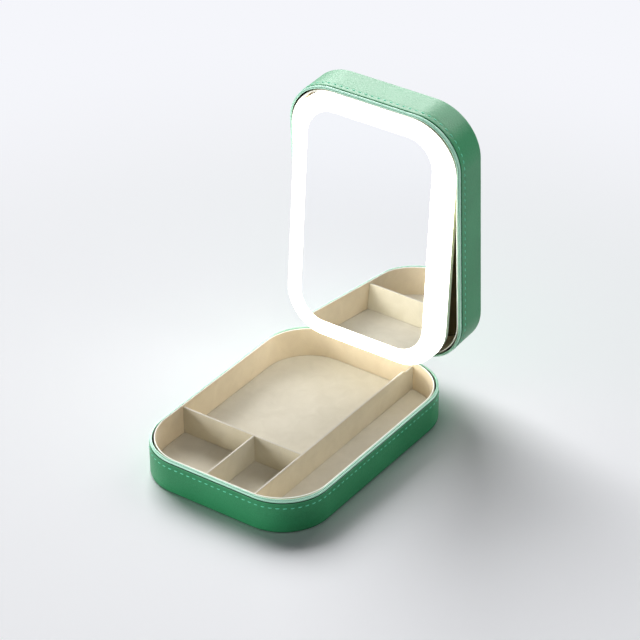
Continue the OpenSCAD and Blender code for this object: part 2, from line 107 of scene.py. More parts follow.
def moulded_pattern(low, high, drift_size):
    """Spark-eroded mould skin, drawn 0.6 mm across to show, with slow shifts of shade."""

    def build(tree, place):
        drift = add_node(tree, "ShaderNodeTexNoise", inputs={"Vector": place, "Scale": 1 / drift_size})
        skin = add_node(tree, "ShaderNodeTexNoise", inputs={"Vector": place, "Scale": 1 / (0.6 * MM)})
        bump = add_node(
            tree,
            "ShaderNodeBump",
            inputs={"Height": skin.outputs[0], "Distance": 0.03 * MM, "Strength": 0.6},
        )
        colour = add_node(
            tree,
            "ShaderNodeMix",
            {"data_type": "RGBA"},
            {0: drift.outputs[0], MIX_FROM: linear(low), MIX_TO: linear(high)},
        )
        return {"Base Color": colour.outputs[MIX_RESULT], "Normal": bump.outputs[0]}

    return build


# Polypropylene: an even, greasy half-matt face.
moulded_pp = finish_material(
    "moulded_polypropylene", moulded_pattern("#5a564b", "#6f6a5e", 30 * MM), Roughness=0.55, IOR=1.49
)
dress(moulded_pp, "base_shell", "lid_shell")


# Leather side of the tray
# A strip of grained polyurethane leather, glued round the shell, turned under at the foot and
# rolled in at the seam. A lockstitch runs round it, which pulls a shallow channel in the leather.
# The flat panel under the tray is cut from the same leather.

BOX_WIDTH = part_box("base_cover")[1].x * 2
BOX_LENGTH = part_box("base_cover")[1].y * 2
CORNER = 38 * MM
LEATHER_THICKNESS = 0.7 * MM
FOOT_RADIUS = 1.6 * MM
SEAM_RADIUS = 0.6 * MM
STITCH_DROP = 4.0 * MM
STITCH_PITCH = 5.4 * MM
CHANNEL_DEPTH = 0.14 * MM
CHANNEL_HALF = 1.1 * MM
HOLE_PULL = 0.45
SWELL = 0.05 * MM
SWELL_IN = 0.6
FACE_DEPTH = 0.3 * MM
RIM_STEP = 0.9 * MM
WALL_STEPS = 36
TURN_STEPS = 6


def rim_places(width, length, radius, step):
    """Places at even steps round a rounded rectangle: corner centre, outward direction, run."""
    half_x = width / 2 - radius
    half_y = length / 2 - radius
    corners = ((half_x, -half_y), (half_x, half_y), (-half_x, half_y), (-half_x, -half_y))
    centres = [Vector((x, y, 0)) for x, y in corners]
    corner = radius * math.pi / 2
    legs = [2 * half_y, corner, 2 * half_x, corner] * 2
    total = sum(legs)
    count = 4 * round(total / step / 4)
    places = []
    for index in range(count):
        run = total * index / count
        left = run
        leg = 0
        while left > legs[leg]:
            left -= legs[leg]
            leg += 1
        share = left / legs[leg]
        side = leg // 2
        if leg % 2 == 0:
            angle = side * math.pi / 2
            centre = centres[side].lerp(centres[(side + 1) % 4], share)
        else:
            angle = (side + share) * math.pi / 2
            centre = centres[(side + 1) % 4]
        outward = Vector((math.cos(angle), math.sin(angle), 0))
        places.append((centre, outward, run))
    return places, total


def new_piece(name, body, materials, vertices, faces, face_materials=None):
    """Makes a smooth mesh piece that rides on a body and takes its finish from a slot."""
    mesh = bpy.data.meshes.new(name)
    mesh.from_pydata([tuple(v) for v in vertices], [], faces)
    for material in materials:
        mesh.materials.append(material)
    if face_materials:
        mesh.polygons.foreach_set("material_index", face_materials)
    mesh.polygons.foreach_set("use_smooth", [True] * len(mesh.polygons))
    tidy = bmesh.new()
    tidy.from_mesh(mesh)
    bmesh.ops.recalc_face_normals(tidy, faces=tidy.faces)
    tidy.to_mesh(mesh)
    tidy.free()
    piece = bpy.data.objects.new(name, mesh)
    bpy.context.scene.collection.objects.link(piece)
    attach(piece, body)
    return piece


def sweep(places, radius, profile, relief=None):
    """Vertices and faces of a closed profile carried round a rim. A profile point is its distance
    in from the outline and its height; relief gives a further distance in, by run and height."""
    vertices = []
    faces = []
    count = len(places)
    size = len(profile)
    for centre, outward, run in places:
        for inset, height in profile:
            extra = relief(run, inset, height) if relief else 0
            vertices.append(centre + outward * (radius - inset - extra) + Vector((0, 0, height)))
    for index in range(count):
        after = (index + 1) % count
        for point in range(size):
            beside = (point + 1) % size
            faces.append((index * size + point, after * size + point,
                          after * size + beside, index * size + beside))
    return vertices, faces


def span_materials(faces, profile, spans):
    """Second material for the swept faces of some spans of a section, first for the others."""
    return [1 if index % len(profile) in spans else 0 for index in range(len(faces))]


def arc(inset, height, radius, start, end, steps):
    """Profile points on an arc; angles in degrees, 0 inward and 90 up."""
    angles = [math.radians(start + (end - start) * step / steps) for step in range(steps + 1)]
    return [(inset + radius * math.cos(a), height + radius * math.sin(a)) for a in angles]


def leather_profile(height):
    """Section of the leather side, from the turned foot up the wall and over into the seam, and
    which of its spans take the dark green painted shade of the seam."""
    straight = height - FOOT_RADIUS - SEAM_RADIUS
    foot = arc(FOOT_RADIUS, FOOT_RADIUS, FOOT_RADIUS, 270, 180, TURN_STEPS)
    wall = [(0, FOOT_RADIUS + straight * step / WALL_STEPS) for step in range(1, WALL_STEPS)]
    seam = arc(SEAM_RADIUS, height - SEAM_RADIUS, SEAM_RADIUS, 180, 90, TURN_STEPS)
    tucked = LEATHER_THICKNESS + SEAM_RADIUS
    inside = [
        (tucked, height),
        (tucked, height - LEATHER_THICKNESS),
        (LEATHER_THICKNESS, height - 2 * LEATHER_THICKNESS),
        (LEATHER_THICKNESS, FOOT_RADIUS),
        (FOOT_RADIUS, LEATHER_THICKNESS),
    ]
    turned_in = len(foot + wall + seam)
    seam_shade_spans = {turned_in - 3, turned_in - 2, turned_in - 1, turned_in}
    return foot + wall + seam + inside, seam_shade_spans


def bell(distance, width):
    """1 at no distance, falling smoothly to nothing beyond a width."""
    return math.exp(-((distance / width) ** 2))


def slow_wave(along, across, size, layer):
    """Unevenness between -1 and 1, with waves of the two lengths in size; layer picks a sheet of
    the noise, so that different pieces are uneven in different ways."""
    return noise.noise(Vector((along / size[0], across / size[1], layer)))


def stitch_channel(row_height, total):
    """Relief that presses the channel round the stitches, deepest at each needle hole."""
    stitches = round(total / STITCH_PITCH)

    def relief(run, inset, height):
        if inset >= FACE_DEPTH:
            return 0
        pull = 0.5 - 0.5 * math.cos(2 * math.pi * run * stitches / total)
        depth = CHANNEL_DEPTH * (1 - HOLE_PULL + HOLE_PULL * pull)
        swell = SWELL * (slow_wave(run, height, (19 * MM, 11 * MM), 3.1) + SWELL_IN)
        return depth * bell(height - row_height, CHANNEL_HALF) + swell

    return relief


def leather_pattern(light, dark):
    """Pebble grain of pressed leather, with pores 0.35 mm across and slow shifts of shade. The
    real grain is 0.5 mm; it is drawn at 1.1 mm to show."""

    def build(tree, place):
        drift = add_node(
            tree, "ShaderNodeTexNoise", inputs={"Vector": place, "Scale": 1 / (45 * MM), "Detail": 3.0}
        )
        pebbles = add_node(
            tree,
            "ShaderNodeTexVoronoi",
            {"feature": "SMOOTH_F1"},
            {"Vector": place, "Scale": 1 / (1.1 * MM), "Smoothness": 0.4},
        )
        pores = add_node(
            tree, "ShaderNodeTexNoise", inputs={"Vector": place, "Scale": 1 / (0.35 * MM), "Detail": 2.0}
        )
        height = add_node(
            tree,
            "ShaderNodeMath",
            {"operation": "MULTIPLY_ADD"},
            {0: pores.outputs[0], 1: 0.35, 2: pebbles.outputs["Distance"]},
        )
        bump = add_node(
            tree,
            "ShaderNodeBump",
            {"invert": True},
            {"Height": height.outputs[0], "Distance": 0.12 * MM, "Strength": 0.7},
        )
        shade = add_node(
            tree,
            "ShaderNodeMath",
            {"operation": "MULTIPLY_ADD", "use_clamp": True},
            {0: pebbles.outputs["Distance"], 1: -0.5, 2: drift.outputs[0]},
        )
        gloss = add_node(
            tree,
            "ShaderNodeMapRange",
            inputs={"Value": pores.outputs[0], "To Min": 0.32, "To Max": 0.44},
        )
        colour = add_node(
            tree,
            "ShaderNodeMix",
            {"data_type": "RGBA"},
            {0: shade.outputs[0], MIX_FROM: linear(dark), MIX_TO: linear(light)},
        )
        return {
            "Base Color": colour.outputs[MIX_RESULT],
            "Roughness": gloss.outputs[0],
            "Normal": bump.outputs[0],
        }

    return build


# Polyurethane leather: a satin green skin, with a pale sheen where it is lit from behind.
grained_leather = finish_material(
    "grained_polyurethane_leather",
    leather_pattern("#3a9363", "#27794d"),
    **{"IOR": 1.5, "Specular IOR Level": 0.3},
)
# Painted shade: a dark green line, with the leather's grain and gloss, where the leather turns in
# at the seam and in the groove between the binding's beads.
seam_shade = finish_material("leather_painted_seam_shade", leather_pattern("#22663f", "#134729"))
side_places, side_total = rim_places(BOX_WIDTH, BOX_LENGTH, CORNER, RIM_STEP)
tray_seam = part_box("base_cover")[1].z
# The spans turned in at the seam take the dark green painted shade.
profile, seam_shade_spans = leather_profile(tray_seam)
channel = stitch_channel(tray_seam - STITCH_DROP, side_total)
vertices, faces = sweep(side_places, CORNER, profile, channel)
tray_leather = new_piece(
    "tray_leather_side",
    "base",
    [grained_leather, seam_shade],
    vertices,
    faces,
    span_materials(faces, profile, seam_shade_spans),
)
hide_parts("base_cover")
dress(grained_leather, "base_bottom_cover")


# Stitches of the tray
# Bonded polyester thread in a green that is a little bluer than the leather. Each stitch is a
# two-ply strand, from one needle hole to the next. The real strand is about 0.6 mm; it is drawn
# 0.8 mm thick to show.

THREAD_RADIUS = 0.4 * MM
STITCH_LENGTH = 3.3 * MM
STITCH_SLANT = 0.22 * MM
STITCH_SINK = 0.42 * MM
STITCH_ARCH = 0.6
PLY_DEPTH = 0.16
PLY_TURNS = 2.5
END_GIRTH = 0.55
END_SHARE = 0.08
FLATNESS = 0.55
THREAD_SIDES = 10
THREAD_RINGS = 14


def thread_pattern(tree, place):
    """Filaments of the strand, drawn 0.25 mm thick to show."""
    fibre = add_node(tree, "ShaderNodeTexNoise", inputs={"Vector": place, "Scale": 1 / (0.25 * MM)})
    colour = add_node(
        tree,
        "ShaderNodeMix",
        {"data_type": "RGBA"},
        {0: fibre.outputs[0], MIX_FROM: linear("#2bb287"), MIX_TO: linear("#74e0bb")},
    )
    return {"Base Color": colour.outputs[MIX_RESULT]}


def stitch_row(places, total, radius, height):
    """Vertices and faces of one row of stitches round a leather side."""
    stitches = round(total / STITCH_PITCH)
    vertices = []
    faces = []
    for index in range(stitches):
        middle = total * (index + 0.5) / stitches
        centre, outward, run = min(places, key=lambda place: abs(place[2] - middle))
        along = Vector((-outward.y, outward.x, 0))
        base = centre + outward * radius + along * (middle - run)
        first = len(vertices)
        for ring in range(THREAD_RINGS):
            share = ring / (THREAD_RINGS - 1)
            lift = STITCH_SINK * (math.sin(math.pi * share) ** STITCH_ARCH - 1)
            slant = (share - 0.5) * STITCH_SLANT
            rounded = min(max(share, END_SHARE), 1 - END_SHARE)
            taper = END_GIRTH + (1 - END_GIRTH) * math.sin(math.pi * rounded)
            middle_point = base + along * (share - 0.5) * STITCH_LENGTH + outward * lift
            for side in range(THREAD_SIDES):
                turn = 2 * math.pi * side / THREAD_SIDES
                ply = 1 + PLY_DEPTH * math.cos(2 * (turn - 2 * math.pi * PLY_TURNS * share))
                girth = THREAD_RADIUS * ply * taper
                offset = outward * math.cos(turn) * girth * FLATNESS
                offset += Vector((0, 0, math.sin(turn) * girth + height + slant))
                vertices.append(middle_point + offset)
        for ring in range(THREAD_RINGS - 1):
            for side in range(THREAD_SIDES):
                beside = (side + 1) % THREAD_SIDES
                low = first + ring * THREAD_SIDES
                high = low + THREAD_SIDES
                faces.append((low + side, low + beside, high + beside, high + side))
        last = first + (THREAD_RINGS - 1) * THREAD_SIDES
        faces.append(tuple(first + side for side in reversed(range(THREAD_SIDES))))
        faces.append(tuple(last + side for side in range(THREAD_SIDES)))
    return vertices, faces


# Bonded polyester: a bright, slightly silky teal strand.
polyester_thread = finish_material(
    "bonded_polyester_thread",
    thread_pattern,
    **{"Roughness": 0.5, "IOR": 1.57, "Sheen Weight": 0.25, "Sheen Roughness": 0.35},
)
vertices, faces = stitch_row(side_places, side_total, CORNER, tray_seam - STITCH_DROP)
new_piece("tray_stitches", "base", [polyester_thread], vertices, faces)


# Rim binding of the tray
# A strip of thin light-green leather, rolled over two cords and glued on the shell's edge: a wide
# bead stands on the seam and a narrow one on top, with dark green painted shade in the seam and
# between them.

LOW_BEAD = 0.95 * MM
HIGH_BEAD = 0.42 * MM
BEAD_INSET = 0.2 * MM
BEAD_LIFT = 0.32 * MM
LOW_STEPS = 16
HIGH_STEPS = 10
# Where the leather meets and leaves each cord, in degrees: 0 is inward and 90 up.
LOW_ARC = (262, 70)
HIGH_ARC = (215, 30)
GROOVE = (1.45 * MM, 1.95 * MM)
RIM_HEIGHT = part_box("base_binding")[1].z - tray_seam
SHOULDER = 0.5 * MM
WALL = 2.1 * MM
PUCKER_PITCH = 5.2 * MM
PUCKER_SLANT = 0.8
PUCKER_DEPTH = 0.03 * MM
# One diagonal wave of the wave texture, along an axis and at scale 1.
WAVE_PERIOD = math.pi / 5


def binding_profile(foot, up):
    """Section of the binding, and which of its spans take the dark green painted shade; foot is the
    seam's height and up is 1 on the tray, -1 on the lid."""
    low_bead = arc(LOW_BEAD + BEAD_INSET, LOW_BEAD + BEAD_LIFT, LOW_BEAD, *LOW_ARC, LOW_STEPS)
    high_bead = arc(WALL - HIGH_BEAD, RIM_HEIGHT - HIGH_BEAD, HIGH_BEAD, *HIGH_ARC, HIGH_STEPS)
    points = low_bead + [GROOVE] + high_bead + [(WALL, RIM_HEIGHT - SHOULDER), (WALL, 0)]
    seam_shade_spans = {0, *range(LOW_STEPS - 2, LOW_STEPS + 2), len(points) - 1}
    return [(inset, foot + up * height) for inset, height in points], seam_shade_spans


def binding_relief(run, inset, height):
    """Slow puckers where the thin leather is rolled, slanting along the bead."""
    pucker = math.sin(2 * math.pi * (run + PUCKER_SLANT * height) / PUCKER_PITCH)
    return PUCKER_DEPTH * (pucker + slow_wave(run, 0, (9 * MM, 9 * MM), 0))


def rolled_pattern(tree, place):
    """Fine slanting pleats of thin rolled leather. The real pleats are 0.8 mm apart; they are
    drawn at 1.6 mm to show."""
    drift = add_node(tree, "ShaderNodeTexNoise", inputs={"Vector": place, "Scale": 1 / (25 * MM)})
    pleats = add_node(
        tree,
        "ShaderNodeTexWave",
        {"bands_direction": "DIAGONAL"},
        {"Vector": place, "Scale": WAVE_PERIOD / (1.6 * MM), "Distortion": 0.6},
    )
    shade = add_node(
        tree,
        "ShaderNodeMath",
        {"operation": "MULTIPLY_ADD", "use_clamp": True},
        {0: pleats.outputs["Fac"], 1: 0.45, 2: drift.outputs[0]},
    )
    bump = add_node(
        tree,
        "ShaderNodeBump",
        inputs={"Height": pleats.outputs["Fac"], "Distance": 0.1 * MM, "Strength": 0.6},
    )
    colour = add_node(
        tree,
        "ShaderNodeMix",
        {"data_type": "RGBA"},
        {0: shade.outputs[0], MIX_FROM: linear("#79bd9b"), MIX_TO: linear("#b4e6cf")},
    )
    return {"Base Color": colour.outputs[MIX_RESULT], "Normal": bump.outputs[0]}


# Rolled leather: pale mint and smoother than the side, so its beads catch a line of light.
rolled_leather = finish_material(
    "rolled_edge_leather",
    rolled_pattern,
    **{"Roughness": 0.34, "IOR": 1.5, "Coat Weight": 0.45, "Coat Roughness": 0.25},
)

hinge = {joint["name"]: joint for joint in frame["joints"]}["lid_hinge"]


def opened(vertices):
    """Turns points of the lid from shut to the pose at rest, about the hinge's axis."""
    place = Vector(hinge["pos_m"])
    angle = math.radians(-hinge["range_deg"][0])
    turn = Matrix.Translation(place) @ Matrix.Rotation(angle, 4, Vector(hinge["axis"]))
    turn = turn @ Matrix.Translation(-place)
    return [turn @ vertex for vertex in vertices]


def binding_piece(name, body, node, foot, up):
    """Builds one binding, with dark green painted shade in its seam and between its beads."""
    profile, seam_shade_spans = binding_profile(foot, up)
    vertices, faces = sweep(side_places, CORNER, profile, binding_relief)
    if up < 0:
        vertices = opened(vertices)
    # The second material is the dark green painted shade, on the seam and in the groove.
    materials = [rolled_leather, seam_shade]
    paint = span_materials(faces, profile, seam_shade_spans)
    piece = new_piece(name, body, materials, vertices, faces, paint)
    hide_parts(node)


binding_piece("tray_rim_binding", "base", "base_binding", tray_seam, 1)


# Liner of the tray
# A strip of card with beige microsuede on its inner face, bent to stand inside the shell and
# butt-jointed on the left wall. Its top edge is the raw, off-white card.

LINER_OUT = BOX_WIDTH / 2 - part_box("base_liner")[1].x
LINER_CARD = 0.9 * MM
LINER_CORNER = 38.5 * MM
SUEDE_DEPTH = LINER_CARD * 0.9
LINER_WAVE = 0.09 * MM
EDGE_STEPS = 8
LINER_STEPS = 16
JOINT_PLACE = -45.6 * MM
JOINT_DEPTH = 0.35 * MM
JOINT_HALF = 0.45 * MM


def liner_profile(foot, rim, up):
    """Section of the liner: outer face, rounded raw edge, inner face and foot."""
    half = LINER_CARD / 2
    top = rim - up * half
    edge = arc(half, 0, half, 180, 0, EDGE_STEPS)
    edge = [(inset, top + up * height) for inset, height in edge]
    steps = range(1, LINER_STEPS + 1)
    inner = [(LINER_CARD, top + (foot - top) * step / LINER_STEPS) for step in steps]
    return [(0, foot)] + edge + inner


def liner_relief(joint):
    """Slow unevenness of glued suede, and the fold of the butt joint if there is one."""

    def relief(run, inset, height):
        if inset < SUEDE_DEPTH:
            return 0
        fold = 0 if joint is None else JOINT_DEPTH * bell(run - joint, JOINT_HALF)
        return LINER_WAVE * (slow_wave(run, height, (23 * MM, 14 * MM), 7.7) - 0.5) - fold

    return relief


def suede_pattern(light, dark, nap=0.7 * MM):
    """Brushed nap: cloudy strokes some 12 mm long, over fibres drawn at 0.7 mm to show."""

    def build(tree, place):
        stroke = add_node(
            tree,
            "ShaderNodeTexNoise",
            inputs={"Vector": place, "Scale": 1 / (12 * MM), "Detail": 5.0, "Distortion": 0.8},
        )
        fibre = add_node(
            tree, "ShaderNodeTexNoise", inputs={"Vector": place, "Scale": 1 / nap, "Detail": 3.0}
        )
        shade = add_node(
            tree,
            "ShaderNodeMath",
            {"operation": "MULTIPLY_ADD"},
            {0: fibre.outputs[0], 1: 0.5, 2: stroke.outputs[0]},
        )
        centred = add_node(
            tree,
            "ShaderNodeMath",
            {"operation": "SUBTRACT", "use_clamp": True},
            {0: shade.outputs[0], 1: 0.25},
        )
        bump = add_node(
            tree,
            "ShaderNodeBump",
            inputs={"Height": fibre.outputs[0], "Distance": 0.12 * MM, "Strength": 0.5},
        )
        colour = add_node(
            tree,
            "ShaderNodeMix",
            {"data_type": "RGBA"},
            {0: centred.outputs[0], MIX_FROM: linear(dark), MIX_TO: linear(light)},
        )
        return {"Base Color": colour.outputs[MIX_RESULT], "Normal": bump.outputs[0]}

    return build


# Beige microsuede: soft and shadeless, with a faint bloom at a slant.
beige_suede = finish_material(
    "beige_microsuede", suede_pattern("#e7d8ba", "#d5c4a5"), **{"Roughness": 0.9, "Sheen Weight": 0.25}
)
# Raw card: the cut edge of the liner, a thin off-white line.
raw_card = finish_material(
    "raw_card_edge", suede_pattern("#fffdf8", "#f2ede1", 0.5 * MM), Roughness=0.8
)


def liner_piece(name, body, node, foot, rim, joint_y=None):
    """Builds one liner; its raw card edge takes the second material. The joint is on the left."""
    width = BOX_WIDTH - 2 * LINER_OUT
    length = BOX_LENGTH - 2 * LINER_OUT
    places = rim_places(width, length, LINER_CORNER, RIM_STEP)[0]
    up = 1 if rim > foot else -1
    profile = liner_profile(foot, rim, up)
    joint = None
    if joint_y is not None:
        left_wall = [place for place in places if place[1].x < -0.999]
        joint = min(left_wall, key=lambda place: abs(place[0].y - joint_y))[2]
    vertices, faces = sweep(places, LINER_CORNER, profile, liner_relief(joint))
    if up < 0:
        vertices = opened(vertices)
    card = span_materials(faces, profile, range(1, EDGE_STEPS + 1))
    piece = new_piece(name, body, [beige_suede, raw_card], vertices, faces, card)
    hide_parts(node)


liner_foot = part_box("base_liner")[0].z
liner_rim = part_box("base_liner")[1].z
liner_piece("tray_liner", "base", "base_liner", liner_foot, liner_rim, JOINT_PLACE)


# Floor pad of the tray
# A thin sheet of foam under cream microsuede, cut to the liner. It is pinched along the
# dividers that stand on it and rolls down at its edge.

PAD_CORNER = 37.45 * MM
SHEET_STEP = 2 * MM
SHEET_TURNS = 18
PAD_CROWN = 0.3 * MM
PAD_ROLL = 0.55 * MM
PAD_ROLL_WIDTH = 1.1 * MM
PINCH_DEPTH = 0.35 * MM
PINCH_WIDTH = 3.5 * MM
PAD_SWELL = 0.16 * MM


def padded_sheet(width, length, radius, low, top_at):
    """Vertices and faces of a pad with a rounded outline; top_at gives its height at x, y and
    at a distance in from the edge."""
    half_x = width / 2 - radius
    half_y = length / 2 - radius
    turns = [math.pi / 2 * turn / SHEET_TURNS for turn in range(1, SHEET_TURNS + 1)]
    ends = [half_y + radius * math.sin(turn) for turn in turns]
    spans = round(2 * half_y / SHEET_STEP)
    middle = [-half_y + 2 * half_y * row / spans for row in range(spans + 1)]
    rows = [-y for y in reversed(ends)] + middle + ends
    columns = 2 * round(width / SHEET_STEP / 2)
    shares = [math.sin(math.pi / 2 * (2 * column / columns - 1)) for column in range(columns + 1)]

    def half_width(y):
        over = max(abs(y) - half_y, 0)
        return half_x + math.sqrt(max(radius * radius - over * over, 0))

    def edge_distance(x, y):
        over_x = max(abs(x) - half_x, 0)
        over_y = max(abs(y) - half_y, 0)
        inside = min(max(abs(x) - half_x, abs(y) - half_y), 0)
        return radius - math.hypot(over_x, over_y) - inside

    vertices = []
    for y in rows:
        for share in shares:
            x = share * half_width(y)
            vertices.append(Vector((x, y, top_at(x, y, edge_distance(x, y)))))
    size = len(shares)
    vertices += [Vector((v.x, v.y, low)) for v in vertices]
    lower = len(rows) * size
    faces = []
    for row in range(len(rows) - 1):
        for column in range(size - 1):
            first = row * size + column
            corners = (first, first + 1, first + size + 1, first + size)
            faces.append(corners)
            faces.append(tuple(lower + corner for corner in reversed(corners)))
    rim = list(range(size)) + [row * size + size - 1 for row in range(1, len(rows))]
    rim += [(len(rows) - 1) * size + column for column in range(size - 2, -1, -1)]
    rim += [row * size for row in range(len(rows) - 2, 0, -1)]
    for index, place in enumerate(rim):
        after = rim[(index + 1) % len(rim)]
        faces.append((place, lower + place, lower + after, after))
    return vertices, faces


pad_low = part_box("base_floor_pad")[0]
pad_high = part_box("base_floor_pad")[1]
divider_boxes = [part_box(node) for node in ("long_divider", "cross_divider", "short_divider")]


def floor_height(x, y, edge):
    """Top of the floor pad: rolled at the edge, pinched by the dividers, soft in between."""
    pinch = 0
    for low, high in divider_boxes:
        middle = (low + high) / 2
        away_x = max(abs(x - middle.x) - (high.x - low.x) / 2, 0)
        away_y = max(abs(y - middle.y) - (high.y - low.y) / 2, 0)
        pinch = max(pinch, PINCH_DEPTH * bell(math.hypot(away_x, away_y), PINCH_WIDTH))
    roll = PAD_ROLL * bell(edge, PAD_ROLL_WIDTH)
    swell = PAD_SWELL * slow_wave(x, y, (28 * MM, 28 * MM), 1.3)
    return pad_high.z + PAD_CROWN - roll - pinch + swell


# Cream microsuede: the palest lining, nearly white under the lamp.
cream_suede = finish_material(
    "cream_microsuede", suede_pattern("#d3cdbd", "#c0b9a7"), **{"Roughness": 0.92, "Sheen Weight": 0.2}
)
vertices, faces = padded_sheet(
    pad_high.x - pad_low.x, pad_high.y - pad_low.y, PAD_CORNER, pad_low.z, floor_height
)
floor_pad = new_piece("tray_floor_pad", "base", [cream_suede], vertices, faces)
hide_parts("base_floor_pad")


# Dividers
# Three strips of board wrapped in the liner's suede, folded over the top and glued down. Their
# suede is drawn greyer and darker than the liner's, as painted shade, and the faces that face up
# take a less yellow colour, as a painted highlight. The long one is cut lower at the hinge end to
# let the mirror pass.

FOLD_RADIUS = 0.5 * MM
FOLD_SEGMENTS = 4
HIGHLIGHT_FACING = 0.6
CREASE_ANGLE = 35
RELIEF_LENGTH = 13 * MM
RELIEF_SLOPE = 3.9 * MM
RELIEF_DEPTH = 2.4 * MM


def smooth_by_angle(piece):
    """Keeps flat faces flat on a piece with rounded edges."""
    work = bmesh.new()
    work.from_mesh(piece.data)
    for edge in work.edges:
        if len(edge.link_faces) == 2:
            edge.smooth = edge.calc_face_angle(0) < math.radians(CREASE_ANGLE)
    work.to_mesh(piece.data)
    work.free()


def divider_piece(name, node, outline, axis, middle, thickness):
    """Builds a divider from its side outline of (run, height), with every edge rounded. It runs
    along the axis, and middle is its place across."""
    work = bmesh.new()
    half = thickness / 2
    rings = []
    for side in (-half, half):
        ring = []
        for run, height in outline:
            point = (middle + side, run, height) if axis == "y" else (run, middle + side, height)
            ring.append(work.verts.new(point))
        rings.append(ring)
    count = len(outline)
    work.faces.new(rings[0])
    work.faces.new(list(reversed(rings[1])))
    for index in range(count):
        after = (index + 1) % count
        work.faces.new((rings[0][index], rings[1][index], rings[1][after], rings[0][after]))
    bmesh.ops.recalc_face_normals(work, faces=work.faces)
    bmesh.ops.bevel(
        work,
        geom=list(work.edges),
        offset=FOLD_RADIUS,
        segments=FOLD_SEGMENTS,
        profile=0.5,
        affect="EDGES",
        clamp_overlap=True,
    )
    work.normal_update()
    vertices = [v.co.copy() for v in work.verts]
    work.verts.index_update()
    faces = [tuple(v.index for v in face.verts) for face in work.faces]
    # Faces that face up take the suede with the painted highlight.
    pale = [1 if face.normal.z > HIGHLIGHT_FACING else 0 for face in work.faces]
    work.free()
    materials = [shaded_divider_suede, top_highlight_suede]
    piece = new_piece(name, "base", materials, vertices, faces, pale)
    smooth_by_angle(piece)
    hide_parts(node)


# Microsuede over board: the liner's soft, shadeless nap, drawn greyer, cooler and darker than on
# the liner, as painted shade on the dividers.
shaded_divider_suede = finish_material(
    "divider_microsuede_painted_shade", suede_pattern("#d3ccb6", "#c0b8a0"), **{"Roughness": 0.9, "Sheen Weight": 0.25}
)
# The same suede on the faces that face up: flatter, and in a less yellow colour as a painted
# highlight, so that the top shows as a pale line.
top_highlight_suede = finish_material(
    "suede_painted_top_highlight", suede_pattern("#ccc6ba", "#b8b2a4", 0.5 * MM), Roughness=0.8
)
low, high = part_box("long_divider")
relief_start = high.y - RELIEF_LENGTH
long_outline = [
    (low.y, low.z),
    (high.y, low.z),
    (high.y, high.z - RELIEF_DEPTH),
    (relief_start + RELIEF_SLOPE, high.z - RELIEF_DEPTH),
    (relief_start, high.z),
    (low.y, high.z),
]
middle_x = (low.x + high.x) / 2
divider_piece("long_divider_board", "long_divider", long_outline, "y", middle_x, high.x - low.x)
low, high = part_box("cross_divider")
cross_outline = [(low.x, low.z), (high.x, low.z), (high.x, high.z), (low.x, high.z)]
middle_y = (low.y + high.y) / 2
divider_piece("cross_divider_board", "cross_divider", cross_outline, "x", middle_y, high.y - low.y)
low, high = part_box("short_divider")
short_outline = [(low.y, low.z), (high.y, low.z), (high.y, high.z), (low.y, high.z)]
middle_x = (low.x + high.x) / 2
divider_piece("short_divider_board", "short_divider", short_outline, "y", middle_x, high.x - low.x)


# Magnets, hinge, brackets and screws
# Nickel-plated magnets are let into both front walls. The butt hinge is folded from satin
# nickel-plated steel and riveted on behind. Its pin and rivets, every screw, the pivot pins and
# the socket are zinc plated, and the panel's two brackets are die cast.


def plated_pattern(light, dark, streak):
    """Plating with a grain drawn at 0.4 mm to show. It is tumbled where streak is 1, and brushed
    along the width of the box where streak is less."""

    def build(tree, place):
        stretched = add_node(
            tree, "ShaderNodeMapping", inputs={"Vector": place, "Scale": (streak, 1.0, 1.0)}
        )
        brushed = add_node(
            tree,
            "ShaderNodeTexNoise",
            inputs={"Vector": stretched.outputs[0], "Scale": 1 / (0.4 * MM), "Detail": 3.0},
        )
        gloss = add_node(
            tree,
            "ShaderNodeMapRange",
            inputs={"Value": brushed.outputs[0], "To Min": 0.22, "To Max": 0.42},
        )
        bump = add_node(
            tree,
            "ShaderNodeBump",
            inputs={"Height": brushed.outputs[0], "Distance": 0.01 * MM, "Strength": 0.4},
        )
        colour = add_node(
            tree,
            "ShaderNodeMix",
            {"data_type": "RGBA"},
            {0: brushed.outputs[0], MIX_FROM: linear(dark), MIX_TO: linear(light)},
        )
        return {
            "Base Color": colour.outputs[MIX_RESULT],
            "Roughness": gloss.outputs[0],
            "Normal": bump.outputs[0],
        }

    return build


# Satin nickel: warm grey with fine lengthwise brushing.
satin_nickel = finish_material(
    "satin_nickel_plate", plated_pattern("#d4d1c8", "#b5b1a6", 0.06), Metallic=1.0
)
# Zinc plate: cooler and more even, on pins, rivets and screws.
zinc_plate = finish_material(
    "zinc_plated_steel", plated_pattern("#cfd2d6", "#aeb2b8", 1.0), Metallic=1.0
)
# Die-cast aluminium: dull blue-grey with a pebbled skin.
die_cast = finish_material(
    "die_cast_aluminium", plated_pattern("#a2a6aa", "#83878c", 1.0), Metallic=1.0
)
dress(satin_nickel, "base_magnets", "lid_magnets", "hinge_base_leaf", "hinge_lid_leaf")
dress(
    zinc_plate,
    "hinge_base_rivets",
    "hinge_lid_rivets",
    "hinge_pin",
    "bracket_screws",
    "housing_screws",
    "pivot_pins",
    "board_screws",
    "charging_socket",
)
dress(die_cast, "mirror_brackets")


# Leather of the lid
# The lid is covered as the tray is: a stitched side, and on top a flat panel that is glued down
# inside the turned edge. Its pieces are made shut and then turned to the lid's rest angle.

CLOSING_GAP = 0.3 * MM
LID_HEIGHT = 26.4 * MM
PANEL_THICKNESS = 0.8 * MM
PANEL_DIP = 0.3 * MM
PANEL_DIP_WIDTH = 0.7 * MM
PANEL_SWELL = 0.06 * MM

lid_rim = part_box("base_binding")[1].z + CLOSING_GAP
lid_seam = lid_rim + RIM_HEIGHT
lid_top = lid_seam + LID_HEIGHT
